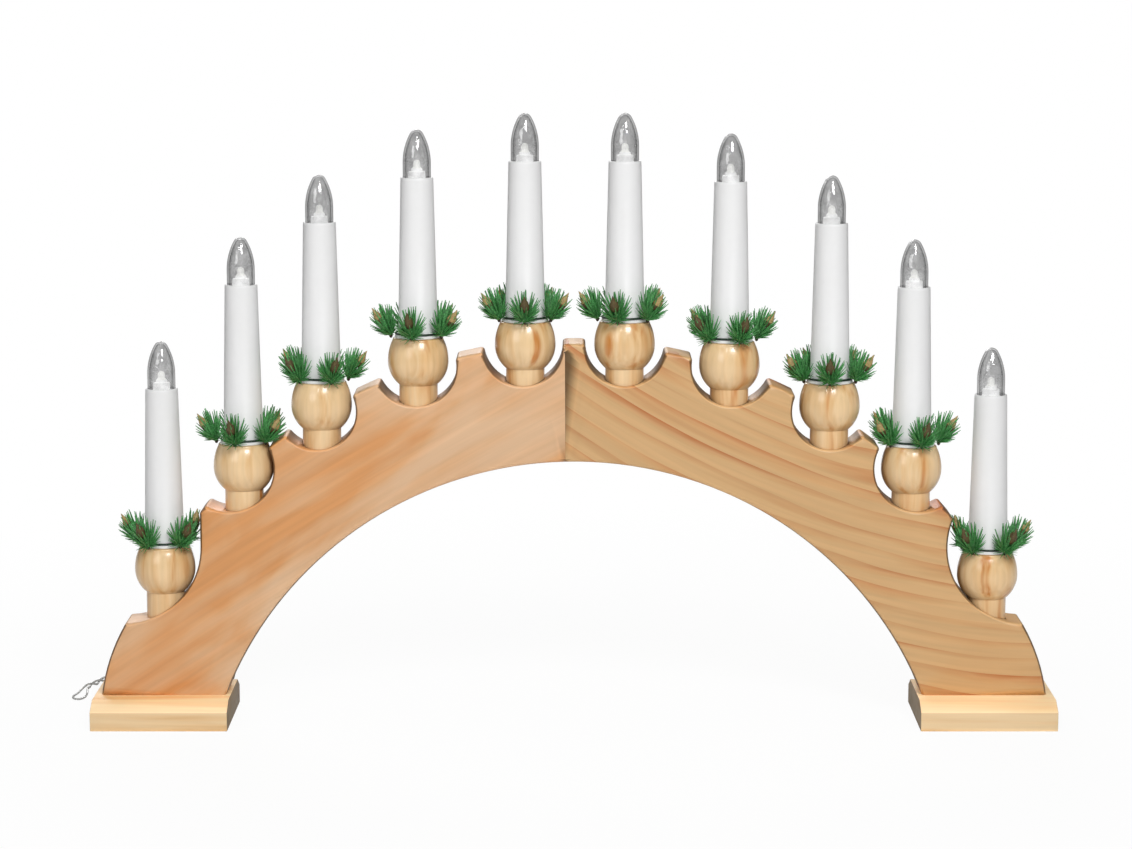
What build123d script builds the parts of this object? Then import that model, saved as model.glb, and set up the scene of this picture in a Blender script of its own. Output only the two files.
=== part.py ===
from build123d import *
import math
import os

# Candle arch in pine with ten candles, their evergreen rings and a battery box on a thin lead.
# X runs to the right seen from the front, Y to the back and Z up, in millimetres.
# The origin is on the table, midway between the two feet and midway through the boards.

# Feet: one bevelled block under each leg
arch_span = 400.0
foot_length = 56.7
foot_depth = 50.0
foot_height = 11.7
foot_edge_height = 8.0
foot_bevel_depth = 7.0

# Arch boards: two boards butted together and cut to two arcs about one centre below the table top.
# The outer arc would meet the table at the ends of the feet, and each leg bulges a little beyond it.
arc_drop = 45.7
board_depth = 49.1
outer_radius = math.hypot(arch_span / 2, arc_drop)
inner_radius = outer_radius - board_depth
leg_radius = 80.8
leg_inset = 2.2
leg_centre_height = 1.0
board_thickness = 20.0
edge_break = 1.2
peak_round = 1.5
shoulder_round = 1.6
seam_offset = 3.6

# Scalloped top edge, mirrored left and right and listed from the middle outwards
scallop_radius = 16.6
scallop_radius_shares = (0.985, 1.012, 0.970, 1.102)
scallop_angles = (5.9, 18.4, 30.9, 42.9)
scallop_centre_shares = (0.998, 1.0055, 1.005, 1.019)
end_scallop_radius = 32.3
end_scallop_rise = 17.25
end_scallop_angle = 57.28
end_wall_reach = 40.0

# Candle cups: turned balls on a short neck that is glued into a bored pocket. The places are listed
# from left to right about the arc centre, and are as uneven as in the photograph.
cup_radius_shares = (0.989, 1.001, 1.0085, 1.010, 0.9975, 0.998, 1.002, 1.010, 1.007, 0.990)
cup_angles = (-57.3, -41.9, -30.35, -18.1, -5.65, 5.85, 18.2, 30.7, 42.7, 58.2)
ball_diameter = 25.1
rim_diameter = 20.9
rim_height = 9.8
rim_chamfer = 0.8
neck_diameter = 15.9
neck_bottom_drop = 21.0
cup_bore_depth = 8.0
glue_gap = 0.05

# Candle sleeves, tapered outside with a straight bore
sleeve_base_diameter = 16.5
sleeve_top_diameter = 13.5
sleeve_wall = 0.95
sleeve_visible_height = 66.0

# Lamps: a clear flame cap over a stepped holder and a small lamp
cap_diameter = 11.5
cap_wall = 0.8
cap_height = 19.5
cap_straight_height = 6.0
cap_tip_radius = 3.0
cap_seat_depth = 1.0
holder_flange_thickness = 1.0
holder_cone_base = 7.0
holder_cone_top = 4.2
holder_cone_height = 4.4
lamp_diameter = 3.0
lamp_straight_height = 2.4
lamp_height = 3.6
lamp_tip_diameter = 1.2

# Flat twin wire in a groove milled along the underside, with a branch up to each cup
groove_width = 5.0
groove_depth = 5.0
groove_end_height = 20.0
wire_hole_diameter = 3.6
wire_hole_lead_in = 3.6
wire_width = 2.4
wire_thickness = 1.2
wire_inset = 2.5
wire_end_height = 18.0
branch_width = 1.2
keeper_length = 6.0
keeper_inset = 0.4
keeper_angles = (-52.0, -24.0, 24.0, 52.0)

# Fastenings
dowel_diameter = 6.0
dowel_length = 22.0
dowel_rises = (10.6, 20.6)
screw_diameter = 3.5
screw_head_diameter = 7.0
screw_head_height = 2.6
screw_length = 28.0
screw_recess = 0.5
screw_spacing = 32.0

# Evergreen rings that lie loose on the cup rims
wreath_diameter = 18.6
wreath_wire = 1.2
wreath_seat_gap = 0.05
wreath_sides = 16
first_sprig_angles = (-120.0, -103.0, -65.0, -101.0, -90.0, -106.0, -70.0, -94.0, -74.0, -131.0)
sprig_angles = (0.0, 72.0, 144.0, 216.0, 288.0)
sprig_radius = 11.2
sprig_core_diameter = 4.2
sprig_core_height = 1.4
knob_diameter = 1.5
knob_drop = 2.4
knob_radius = 12.2
knob_free_angle = 36.0
bud_diameter = 2.8
bud_length = 8.5
bud_taper = 6.0
bud_elevation = 64.0
needle_width = 1.0
needle_taper = 1.0
needle_root_radius = 11.6
low_needle_length = 8.5
low_needle_elevation = 38.0
low_needle_angles = (-64.0, -22.0, 22.0, 64.0)
tall_needle_length = 11.5
tall_needle_elevation = 74.0
tall_needle_angles = (-90.0, -35.0, 35.0, 90.0)
wall_needle_elevation = 66.0
wall_bud_elevation = 74.0
wall_angle = 42.0

# Battery box for two AA cells, lying on the table behind the left leg
box_width = 33.0
box_length = 72.0
box_height = 18.0
box_wall = 1.5
box_front_y = 40.0
box_deck_length = 13.0
cover_thickness = 1.4
cover_tongue_width = 0.7
cover_tongue_thickness = 0.6
cover_gap = 0.1
cover_ridge_width = 0.9
cover_ridge_length = 12.0
cover_ridge_height = 0.4
cover_ridge_spacing = 2.2
cover_ridge_count = 5
cover_ridge_inset = 10.0
cell_diameter = 14.2
cell_length = 49.5
cell_nub_diameter = 5.5
cell_nub_length = 1.0
cell_gap = 0.3
contact_thickness = 0.5
contact_width = 9.0
contact_height = 11.0
switch_slot_length = 8.0
switch_slot_width = 3.6
switch_slot_depth = 3.0
switch_length = 4.0
switch_height = 1.6
switch_gap = 0.1

# Lead between the arch and the battery box
lead_diameter = 0.9
lead_sides = 8
gland_diameter = 3.4
gland_projection = 0.6
gland_height = 20.0
lead_entry_height = 3.2
twist_radius = 1.0
twist_turns = 2
twist_points_per_turn = 4

os.makedirs("parts", exist_ok=True)


def on_arc(radius, angle):
    # place in the X-Z plane at a radius and an angle from upright about the arc centre
    turn = math.radians(angle)
    return (radius * math.sin(turn), radius * math.cos(turn) - arc_drop)


def save(solid, name):
    solid.label = name
    export_step(solid, "parts/" + name + ".step")


# Places of the ten candles from left to right, as X and Z of each ball centre
cup_places = [
    on_arc(outer_radius * share, angle)
    for share, angle in zip(cup_radius_shares, cup_angles)
]
candle_points = [(x, 0, z) for x, z in cup_places]
pocket_radius = neck_diameter / 2 + glue_gap
end_scallop_x, end_scallop_height = on_arc(outer_radius + end_scallop_rise, end_scallop_angle)
leg_centre_x = arch_span / 2 - leg_inset - leg_radius
dowel_heights = [inner_radius - arc_drop + rise for rise in dowel_rises]
box_x = (foot_length - arch_span) / 2
groove_middle = inner_radius + groove_depth / 2
gland_x = -math.sqrt(groove_middle**2 - (arc_drop + gland_height) ** 2)

# The whole arch, before it is split at the seam
with BuildPart() as arch:
    with BuildSketch(Plane.XZ) as outline:
        with Locations((0, -arc_drop)):
            Circle(outer_radius)
        with Locations((-leg_centre_x, leg_centre_height), (leg_centre_x, leg_centre_height)):
            Circle(leg_radius)
        with Locations((0, -arc_drop)):
            Circle(inner_radius, mode=Mode.SUBTRACT)
        for side in (-1, 1):
            for share, angle, size in zip(scallop_centre_shares, scallop_angles, scallop_radius_shares):
                x, z = on_arc(outer_radius * share, angle)
                with Locations((side * x, z)):
                    Circle(scallop_radius * size, mode=Mode.SUBTRACT)
            with Locations((side * end_scallop_x, end_scallop_height)):
                Circle(end_scallop_radius, mode=Mode.SUBTRACT)
        # above its end scallop the left board is cut straight up
        wall_x = end_scallop_radius - end_scallop_x - end_wall_reach / 2
        with Locations((wall_x, end_scallop_height + end_wall_reach / 2)):
            Rectangle(end_wall_reach, end_wall_reach, mode=Mode.SUBTRACT)
        with Locations((0, foot_height - outer_radius)):
            Rectangle(3 * outer_radius, 2 * outer_radius, mode=Mode.SUBTRACT)
        peaks = [
            corner
            for corner in outline.vertices()
            if abs(math.hypot(corner.X, corner.Y + arc_drop) - outer_radius) < glue_gap
            and corner.Y > end_scallop_height
        ]
        fillet(peaks, radius=peak_round)
        shoulders = []
        for side in (-1, 1):
            scallop_ends = [
                corner
                for corner in outline.vertices()
                if corner.X * side > 0
                and abs(
                    math.hypot(corner.X - side * end_scallop_x, corner.Y - end_scallop_height)
                    - end_scallop_radius
                )
                < glue_gap
            ]
            shoulders.append(max(scallop_ends, key=lambda corner: abs(corner.X)))
        fillet(shoulders, radius=shoulder_round)
    extrude(amount=board_thickness / 2, both=True)
    front_face = arch.faces().sort_by(Axis.Y)[0]
    back_face = arch.faces().sort_by(Axis.Y)[-1]
    rims = [
        edge
        for edge in front_face.edges() + back_face.edges()
        if edge.center().Z > foot_height + glue_gap
    ]
    chamfer(rims, length=edge_break)

    # Groove along the underside, closed at the right foot
    with BuildSketch(Plane.XZ) as groove:
        with Locations((0, -arc_drop)):
            Circle(inner_radius + groove_depth)
        with Locations((outer_radius, groove_end_height - outer_radius)):
            Rectangle(2 * outer_radius, 2 * outer_radius, mode=Mode.SUBTRACT)
    extrude(amount=groove_width / 2, both=True, mode=Mode.SUBTRACT)

    # A flat-bottomed pocket for each cup and a wire hole from it down to the groove
    for x, z in cup_places:
        with BuildSketch(Plane.XY.offset(z - neck_bottom_drop)):
            with Locations((x, 0)):
                Circle(pocket_radius)
        extrude(amount=neck_bottom_drop, mode=Mode.SUBTRACT)
        away = math.hypot(x, z - neck_bottom_drop + arc_drop)
        towards = Vector(-x / away, 0, -(z - neck_bottom_drop + arc_drop) / away)
        start = Vector(x, 0, z - neck_bottom_drop) - towards * wire_hole_lead_in
        with BuildSketch(Plane(origin=start, x_dir=(0, 1, 0), z_dir=towards)):
            Circle(wire_hole_diameter / 2)
        hole_length = away - inner_radius - groove_depth / 2 + wire_hole_lead_in
        extrude(amount=hole_length, mode=Mode.SUBTRACT)

    # Blind dowel holes across the seam
    with BuildSketch(Plane.YZ.offset(-seam_offset)):
        with Locations(*[(0, height) for height in dowel_heights]):
            Circle(dowel_diameter / 2 + glue_gap)
    extrude(amount=dowel_length / 2 + glue_gap, both=True, mode=Mode.SUBTRACT)

    # Pilot holes for the foot screws
    screw_places = [
        (side * (arch_span / 2 - foot_length / 2 + step * screw_spacing / 2), 0)
        for side in (-1, 1)
        for step in (-1, 1)
    ]
    with BuildSketch(Plane.XY):
        with Locations(*screw_places):
            Circle(screw_diameter / 2 + glue_gap)
    extrude(amount=screw_recess + screw_length + glue_gap, mode=Mode.SUBTRACT)

    # Hole for the lead, from the back face into the groove
    with BuildSketch(Plane.XZ.offset(-board_thickness / 2)):
        with Locations((gland_x, gland_height)):
            Circle(gland_diameter / 2 + glue_gap)
    extrude(amount=board_thickness / 2, mode=Mode.SUBTRACT)

with BuildPart() as arch_left_board:
    add(arch.part)
    with Locations((-seam_offset - outer_radius, 0, outer_radius)):
        Box(2 * outer_radius, 2 * board_thickness, 3 * outer_radius, mode=Mode.INTERSECT)
save(arch_left_board.part, "arch_left_board")

with BuildPart() as arch_right_board:
    add(arch.part)
    with Locations((outer_radius - seam_offset, 0, outer_radius)):
        Box(2 * outer_radius, 2 * board_thickness, 3 * outer_radius, mode=Mode.INTERSECT)
save(arch_right_board.part, "arch_right_board")

with BuildPart() as seam_dowels:
    with BuildSketch(Plane.YZ.offset(-seam_offset)):
        with Locations(*[(0, height) for height in dowel_heights]):
            Circle(dowel_diameter / 2)
    extrude(amount=dowel_length / 2, both=True)
save(seam_dowels.part, "seam_dowels")

# Feet, with countersunk holes from below
for side, name in ((-1, "foot_left"), (1, "foot_right")):
    foot_x = side * (arch_span - foot_length) / 2
    with BuildPart() as foot:
        with BuildSketch(Plane.YZ.offset(foot_x)):
            with BuildLine():
                Polyline(
                    (-foot_depth / 2, 0),
                    (foot_depth / 2, 0),
                    (foot_depth / 2, foot_edge_height),
                    (foot_depth / 2 - foot_bevel_depth, foot_height),
                    (foot_bevel_depth - foot_depth / 2, foot_height),
                    (-foot_depth / 2, foot_edge_height),
                    close=True,
                )
            make_face()
        extrude(amount=foot_length / 2, both=True)
        for x, y in screw_places:
            if x * side > 0:
                with BuildSketch(Plane.XY):
                    with Locations((x, y)):
                        Circle(screw_head_diameter / 2 + glue_gap)
                extrude(amount=screw_recess, mode=Mode.SUBTRACT)
                with BuildSketch(Plane.XY.offset(screw_recess)):
                    with Locations((x, y)):
                        Circle(screw_head_diameter / 2 + glue_gap)
                with BuildSketch(Plane.XY.offset(screw_recess + screw_head_height)):
                    with Locations((x, y)):
                        Circle(screw_diameter / 2 + glue_gap)
                loft(mode=Mode.SUBTRACT)
                with BuildSketch(Plane.XY):
                    with Locations((x, y)):
                        Circle(screw_diameter / 2 + glue_gap)
                extrude(amount=foot_height, mode=Mode.SUBTRACT)
    save(foot.part, name)

with BuildPart() as screw:
    with BuildSketch(Plane.XZ):
        with BuildLine():
            Polyline(
                (0, screw_recess),
                (screw_head_diameter / 2, screw_recess),
                (screw_diameter / 2, screw_recess + screw_head_height),
                (screw_diameter / 2, screw_recess + screw_length - screw_diameter),
                (0, screw_recess + screw_length),
                close=True,
            )
        make_face()
    revolve(axis=Axis.Z)

with BuildPart() as foot_screws:
    with Locations(*[(x, y, 0) for x, y in screw_places]):
        add(screw.part)
save(foot_screws.part, "foot_screws")

# Turned cup: neck, round lower half of the ball, flatter upper half, rim and bore
ball_radius = ball_diameter / 2
neck_radius = neck_diameter / 2
neck_top_drop = math.sqrt(ball_radius**2 - neck_radius**2)
rim_radius = rim_diameter / 2
bore_radius = sleeve_base_diameter / 2 + glue_gap
with BuildPart() as cup:
    with BuildSketch(Plane.XZ):
        with BuildLine():
            Polyline(
                (neck_radius, -neck_top_drop),
                (neck_radius, -neck_bottom_drop),
                (0, -neck_bottom_drop),
                (0, rim_height - cup_bore_depth),
                (bore_radius, rim_height - cup_bore_depth),
                (bore_radius, rim_height),
                (rim_radius - rim_chamfer, rim_height),
                (rim_radius, rim_height - rim_chamfer),
            )
            TangentArc((ball_radius, 0), (neck_radius, -neck_top_drop), tangent=(0, -1))
            TangentArc((ball_radius, 0), (rim_radius, rim_height - rim_chamfer), tangent=(0, 1))
        make_face()
    revolve(axis=Axis.Z)

with BuildPart() as candle_cups:
    with Locations(*candle_points):
        add(cup.part)
save(candle_cups.part, "candle_cups")

# Tapered tube that stands in the cup as the candle
sleeve_base = rim_height - cup_bore_depth
sleeve_top = rim_height + sleeve_visible_height
sleeve_top_radius = sleeve_top_diameter / 2
with BuildPart() as sleeve:
    with BuildSketch(Plane.XY.offset(sleeve_base)):
        Circle(sleeve_base_diameter / 2)
    extrude(amount=rim_height - sleeve_base)
    with BuildSketch(Plane.XY.offset(rim_height)):
        Circle(sleeve_base_diameter / 2)
    with BuildSketch(Plane.XY.offset(sleeve_top)):
        Circle(sleeve_top_radius)
    loft()
    with BuildSketch(Plane.XY.offset(sleeve_base)):
        Circle(sleeve_top_radius - sleeve_wall)
    extrude(amount=sleeve_top - sleeve_base, mode=Mode.SUBTRACT)

with BuildPart() as candle_sleeves:
    with Locations(*candle_points):
        add(sleeve.part)
save(candle_sleeves.part, "candle_sleeves")

# Clear bullet-shaped cap, seated a little way down inside the top of the sleeve. Its side arc starts
# upright and runs into the small arc of the tip.
cap_base = sleeve_top - cap_seat_depth
cap_knee = sleeve_top + cap_straight_height
cap_top = sleeve_top + cap_height
cap_radius = cap_diameter / 2
dome_height = cap_height - cap_straight_height
side_radius = (cap_radius**2 + dome_height**2 - 2 * dome_height * cap_tip_radius) / (
    2 * (cap_radius - cap_tip_radius)
)
lean = math.degrees(math.atan2(dome_height - cap_tip_radius, side_radius - cap_radius))
with BuildPart() as cap:
    with BuildSketch(Plane.XZ):
        with BuildLine():
            Line((cap_radius, cap_base), (cap_radius, cap_knee))
            CenterArc((cap_radius - side_radius, cap_knee), side_radius, 0, lean)
            CenterArc((0, cap_top - cap_tip_radius), cap_tip_radius, lean, 90 - lean)
            Polyline(
                (0, cap_top),
                (0, cap_top - 2 * cap_wall),
                (cap_radius - cap_wall, cap_knee),
                (cap_radius - cap_wall, cap_base),
                (cap_radius, cap_base),
            )
        make_face()
    revolve(axis=Axis.Z)

with BuildPart() as bulb_caps:
    with Locations(*candle_points):
        add(cap.part)
save(bulb_caps.part, "bulb_caps")

# White holder: a disc inside the sleeve with a cone standing on it, and the small lamp on top
lamp_base = cap_base + holder_cone_height
with BuildPart() as holder:
    with BuildSketch(Plane.XZ):
        with BuildLine():
            Polyline(
                (0, cap_base - holder_flange_thickness),
                (cap_radius, cap_base - holder_flange_thickness),
                (cap_radius, cap_base),
                (holder_cone_base / 2, cap_base),
                (holder_cone_top / 2, lamp_base),
                (0, lamp_base),
                close=True,
            )
        make_face()
    revolve(axis=Axis.Z)

with BuildPart() as led_holders:
    with Locations(*candle_points):
        add(holder.part)
save(led_holders.part, "led_holders")

with BuildPart() as lamp:
    with BuildSketch(Plane.XZ):
        with BuildLine():
            Polyline(
                (0, lamp_base),
                (lamp_diameter / 2, lamp_base),
                (lamp_diameter / 2, lamp_base + lamp_straight_height),
                (lamp_tip_diameter / 2, lamp_base + lamp_height),
                (0, lamp_base + lamp_height),
                close=True,
            )
        make_face()
    revolve(axis=Axis.Z)

with BuildPart() as led_lamps:
    with Locations(*candle_points):
        add(lamp.part)
save(led_lamps.part, "led_lamps")

# Flat wire that follows the groove from the lead to the last cup
wire_radius = inner_radius + wire_inset
with BuildPart() as harness_wire:
    with BuildSketch(Plane.XZ):
        with Locations((0, -arc_drop)):
            Circle(wire_radius + wire_thickness)
            Circle(wire_radius, mode=Mode.SUBTRACT)
        with Locations((0, wire_end_height - outer_radius)):
            Rectangle(3 * outer_radius, 2 * outer_radius, mode=Mode.SUBTRACT)
        with Locations((outer_radius, groove_end_height + wire_thickness - outer_radius)):
            Rectangle(2 * outer_radius, 2 * outer_radius, mode=Mode.SUBTRACT)
    extrude(amount=wire_width / 2, both=True)
save(harness_wire.part, "harness_wire")

with BuildPart() as harness_branches:
    for x, z in cup_places:
        rise = z - neck_bottom_drop + arc_drop
        away = math.hypot(x, rise)
        outwards = Vector(x / away, 0, rise / away)
        start = Vector(0, 0, -arc_drop) + outwards * (wire_radius + wire_thickness)
        slope = abs(x) / away
        branch_length = away - wire_radius - wire_thickness - branch_width * slope
        with BuildSketch(Plane(origin=start, x_dir=(0, 1, 0), z_dir=outwards)):
            Rectangle(branch_width, branch_width)
        extrude(amount=branch_length)
save(harness_branches.part, "harness_branches")

# Keepers pressed into the groove under the wire
keeper_thickness = wire_inset - keeper_inset - glue_gap
with BuildPart() as wire_keepers:
    for angle in keeper_angles:
        x, z = on_arc(inner_radius + keeper_inset + keeper_thickness / 2, angle)
        with Locations(Location((x, 0, z), (0, angle, 0))):
            Box(keeper_length, groove_width, keeper_thickness)
save(wire_keepers.part, "wire_keepers")


def lies_near(first, second, limit):
    # true when two directions in degrees are within a limit of each other
    apart = abs((first - second + 180.0) % 360.0 - 180.0)
    return apart < limit


def needle_plane(base_angle, swing, elevation):
    # plane at a needle's root, facing along the needle
    base = math.radians(base_angle)
    turn = math.radians(base_angle + swing)
    rise = math.radians(elevation)
    root = (needle_root_radius * math.cos(base), needle_root_radius * math.sin(base), needle_height)
    along = (math.cos(turn) * math.cos(rise), math.sin(turn) * math.cos(rise), math.sin(rise))
    return Plane(origin=root, z_dir=along)


# One evergreen ring for each candle: a wire ring with five sprigs of bud, needles and stem
ring_base = rim_height + wreath_seat_gap
needle_height = ring_base + sprig_core_height / 2
for number, (x, z) in enumerate(cup_places):
    sprigs = [first_sprig_angles[number] + step for step in sprig_angles]
    wall_side = 0 if x < 0 else 180
    beside_wall = number in (0, len(cup_places) - 1)
    bud_planes = []
    low_planes = []
    tall_planes = []
    for base_angle in sprigs:
        by_the_wall = beside_wall and lies_near(base_angle, wall_side, wall_angle)
        elevation = wall_bud_elevation if by_the_wall else bud_elevation
        bud_planes.append(needle_plane(base_angle, 0, elevation))
        for swing in low_needle_angles:
            by_the_wall = beside_wall and lies_near(base_angle + swing, wall_side, wall_angle)
            elevation = wall_needle_elevation if by_the_wall else low_needle_elevation
            low_planes.append(needle_plane(base_angle, swing, elevation))
        for swing in tall_needle_angles:
            tall_planes.append(needle_plane(base_angle, swing, tall_needle_elevation))
    with BuildPart() as wreath:
        with BuildSketch(Plane.XY.offset(ring_base)):
            RegularPolygon(wreath_diameter / 2 + wreath_wire / 2, wreath_sides)
            RegularPolygon(wreath_diameter / 2 - wreath_wire / 2, wreath_sides, mode=Mode.SUBTRACT)
        extrude(amount=wreath_wire)
        with BuildSketch(Plane.XY.offset(ring_base)):
            with PolarLocations(sprig_radius, len(sprigs), start_angle=sprigs[0]):
                RegularPolygon(sprig_core_diameter / 2, 5)
        extrude(amount=sprig_core_height)
        with BuildSketch(*bud_planes):
            RegularPolygon(bud_diameter / 2, 4)
        extrude(amount=bud_length, taper=bud_taper)
        for planes, length in ((low_planes, low_needle_length), (tall_planes, tall_needle_length)):
            with BuildSketch(*planes):
                RegularPolygon(needle_width / 2, 3)
            extrude(amount=length, taper=needle_taper)
        stems = [
            (knob_radius * math.cos(math.radians(angle)), knob_radius * math.sin(math.radians(angle)))
            for angle in sprigs
            if not lies_near(angle, 0, knob_free_angle) and not lies_near(angle, 180, knob_free_angle)
        ]
        with BuildSketch(Plane.XY.offset(ring_base)):
            with Locations(*stems):
                RegularPolygon(knob_diameter / 2, 4)
        extrude(amount=-knob_drop)
    name = "wreath_" + str(number + 1).zfill(2)
    with BuildPart() as placed:
        with Locations((x, 0, z)):
            add(wreath.part)
    save(placed.part, name)

# Battery box: an open tray with a closed deck at the front end for the switch
box_middle_y = box_front_y + box_length / 2
box_back_y = box_front_y + box_length
deck_back_y = box_front_y + box_deck_length
cover_floor = box_height - cover_thickness
tongue_slot = cover_tongue_width + cover_gap
with BuildPart() as battery_case:
    with Locations((box_x, box_middle_y, box_height / 2)):
        Box(box_width, box_length, box_height)
    bay_length = box_length - box_deck_length - box_wall
    bay_middle_y = deck_back_y + bay_length / 2
    with Locations((box_x, bay_middle_y, (box_height + box_wall) / 2)):
        Box(box_width - 2 * box_wall, bay_length, box_height - box_wall, mode=Mode.SUBTRACT)
    with Locations((box_x, (deck_back_y + box_back_y) / 2, box_height - cover_thickness / 2)):
        Box(
            box_width - 2 * box_wall,
            box_back_y - deck_back_y,
            cover_thickness,
            mode=Mode.SUBTRACT,
        )
    with Locations((box_x, (deck_back_y + box_back_y) / 2, cover_floor + cover_tongue_thickness / 2)):
        Box(
            box_width - 2 * box_wall + 2 * tongue_slot,
            box_back_y - deck_back_y,
            cover_tongue_thickness + 2 * cover_gap,
            mode=Mode.SUBTRACT,
        )
    switch_y = box_front_y + box_deck_length / 2
    with Locations((box_x, switch_y, box_height - switch_slot_depth / 2)):
        Box(switch_slot_length, switch_slot_width, switch_slot_depth, mode=Mode.SUBTRACT)
save(battery_case.part, "battery_case")

cover_length = box_back_y - deck_back_y - cover_gap
cover_middle_y = box_back_y - cover_length / 2
with BuildPart() as battery_cover:
    with Locations((box_x, cover_middle_y, box_height - cover_thickness / 2)):
        Box(box_width - 2 * box_wall - 2 * cover_gap, cover_length, cover_thickness)
    with Locations((box_x, cover_middle_y, cover_floor + cover_tongue_thickness / 2)):
        Box(
            box_width - 2 * box_wall + 2 * cover_tongue_width,
            cover_length,
            cover_tongue_thickness,
        )
    with Locations((box_x, box_back_y - cover_ridge_inset, box_height + cover_ridge_height / 2)):
        with GridLocations(cover_ridge_spacing, cover_ridge_spacing, 1, cover_ridge_count):
            Box(cover_ridge_length, cover_ridge_width, cover_ridge_height)
save(battery_cover.part, "battery_cover")

switch_rest_x = box_x - (switch_slot_length - switch_length) / 2 + switch_gap
with BuildPart() as switch_slider:
    slider_height = switch_slot_depth - switch_gap + switch_height
    with Locations((switch_rest_x, switch_y, box_height + switch_height - slider_height / 2)):
        Box(switch_length, switch_slot_width - 2 * switch_gap, slider_height)
save(switch_slider.part, "switch_slider")

# Two cells side by side, facing opposite ways, between bent contacts
cell_spacing = cell_diameter + cell_gap
cell_height = box_wall + cell_diameter / 2 + glue_gap
cell_back_y = deck_back_y + bay_length - contact_thickness
leaf_depth = bay_length - 2 * contact_thickness - cell_length - cell_nub_length
with BuildPart() as battery_cells:
    for side in (-1, 1):
        x = box_x + side * cell_spacing / 2
        nub_at_back = side > 0
        body_back_y = cell_back_y - (cell_nub_length if nub_at_back else leaf_depth)
        nub_y = cell_back_y if nub_at_back else body_back_y - cell_length
        with BuildSketch(Plane.XZ.offset(-body_back_y)):
            with Locations((x, cell_height)):
                Circle(cell_diameter / 2)
        extrude(amount=cell_length)
        with BuildSketch(Plane.XZ.offset(-nub_y)):
            with Locations((x, cell_height)):
                Circle(cell_nub_diameter / 2)
        extrude(amount=cell_nub_length)
save(battery_cells.part, "battery_cells")

with BuildPart() as contact_plates:
    for side in (-1, 1):
        plate_y = cell_back_y + contact_thickness / 2
        plate_y = plate_y if side > 0 else deck_back_y + contact_thickness / 2
        with Locations((box_x + side * cell_spacing / 2, plate_y, box_wall + contact_height / 2)):
            Box(contact_width, contact_thickness, contact_height)
save(contact_plates.part, "contact_plates")

with BuildPart() as contact_leaves:
    for side in (-1, 1):
        wall_y = deck_back_y if side > 0 else cell_back_y + contact_thickness
        reach = (leaf_depth + contact_thickness) * side
        limb = contact_thickness * side
        foot_z = box_wall
        knee_z = box_wall + contact_height
        with BuildSketch(Plane.YZ.offset(box_x + side * cell_spacing / 2)):
            with BuildLine():
                Polyline(
                    (wall_y, foot_z),
                    (wall_y + limb, foot_z),
                    (wall_y + limb, knee_z - contact_thickness),
                    (wall_y + reach - limb, knee_z - 2 * contact_thickness),
                    (wall_y + reach - limb, foot_z + contact_height / 2),
                    (wall_y + reach, foot_z + contact_height / 2),
                    (wall_y + reach, knee_z - contact_thickness),
                    (wall_y, knee_z),
                    close=True,
                )
            make_face()
        extrude(amount=contact_width / 2, both=True)
save(contact_leaves.part, "contact_leaves")

# Plug that holds the lead in the back of the left board
gland_face = board_thickness / 2 + gland_projection
with BuildPart() as lead_gland:
    with BuildSketch(Plane.XZ.offset(-gland_face)):
        with Locations((gland_x, gland_height)):
            Circle(gland_diameter / 2)
    extrude(amount=gland_face - wire_width / 2)
save(lead_gland.part, "lead_gland")

# Lead: out of the board, behind the foot, back beside the box, forward as a twisted pair
# to the open loop beside the foot, and back again to the far end of the box
floor = lead_diameter / 2
foot_end = -arch_span / 2


def beside_foot(points):
    # points given from the outer end of the left foot, moved to where that end is
    return [(foot_end + x, y, z) for x, y, z in points]


lead_start = [
    (gland_x, gland_face, gland_height),
    (gland_x, 2 * gland_face, gland_height),
]
lead_start += beside_foot([
    (54.5, 30.0, 12.0),
    (50.5, 33.5, floor),
    (38.0, 32.5, floor),
    (23.0, 32.5, floor),
    (10.0, 36.0, floor),
    (5.0, 48.0, floor),
    (6.0, 63.0, floor),
    (5.8, 78.0, floor),
    (5.7, 89.5, floor),
    (-0.8, 89.5, floor),
    (-1.0, 79.0, floor),
])
lead_loop = beside_foot([
    (-10.8, 38.5, floor),
    (-10.6, 33.0, floor),
    (-11.4, 29.0, floor),
    (-13.3, 27.6, floor),
    (-15.4, 29.0, floor),
    (-16.3, 33.0, floor),
    (-14.8, 38.5, floor),
])
lead_end = beside_foot([
    (-4.2, 80.0, floor),
    (-3.5, 93.0, floor),
    (0.0, 106.0, floor),
    (8.0, 117.0, floor),
    (19.0, 122.5, floor),
])
lead_end += [
    (box_x, 122.5, lead_entry_height),
    (box_x, box_back_y, lead_entry_height),
]
twist_start = Vector(foot_end - 2.6, 70.0, floor + twist_radius)
twist_end = Vector(foot_end - 12.6, 45.0, floor + twist_radius)


def twisted(first_turn):
    # points of one strand of the twisted pair, from its start to its end
    along = twist_end - twist_start
    across = Vector(0, 0, 1).cross(along).normalized()
    count = twist_turns * twist_points_per_turn
    points = []
    for step in range(count + 1):
        turn = 2 * math.pi * (first_turn + step / twist_points_per_turn)
        middle = twist_start + along * (step / count)
        offset = across * (twist_radius * math.cos(turn)) + Vector(0, 0, twist_radius * math.sin(turn))
        point = middle + offset
        points.append((point.X, point.Y, point.Z))
    return points


lead_points = lead_start + twisted(0) + lead_loop + twisted(0.5)[::-1] + lead_end


def bend_radii(points):
    # radius at each corner, from the shorter of its two runs and half its turn
    radii = []
    for before, corner, after in zip(points, points[1:], points[2:]):
        run_in = Vector(*corner) - Vector(*before)
        run_out = Vector(*after) - Vector(*corner)
        turn = math.radians(run_in.get_angle(run_out))
        shorter = min(run_in.length, run_out.length)
        radii.append(0.45 * shorter / math.tan(turn / 2))
    return radii


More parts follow.
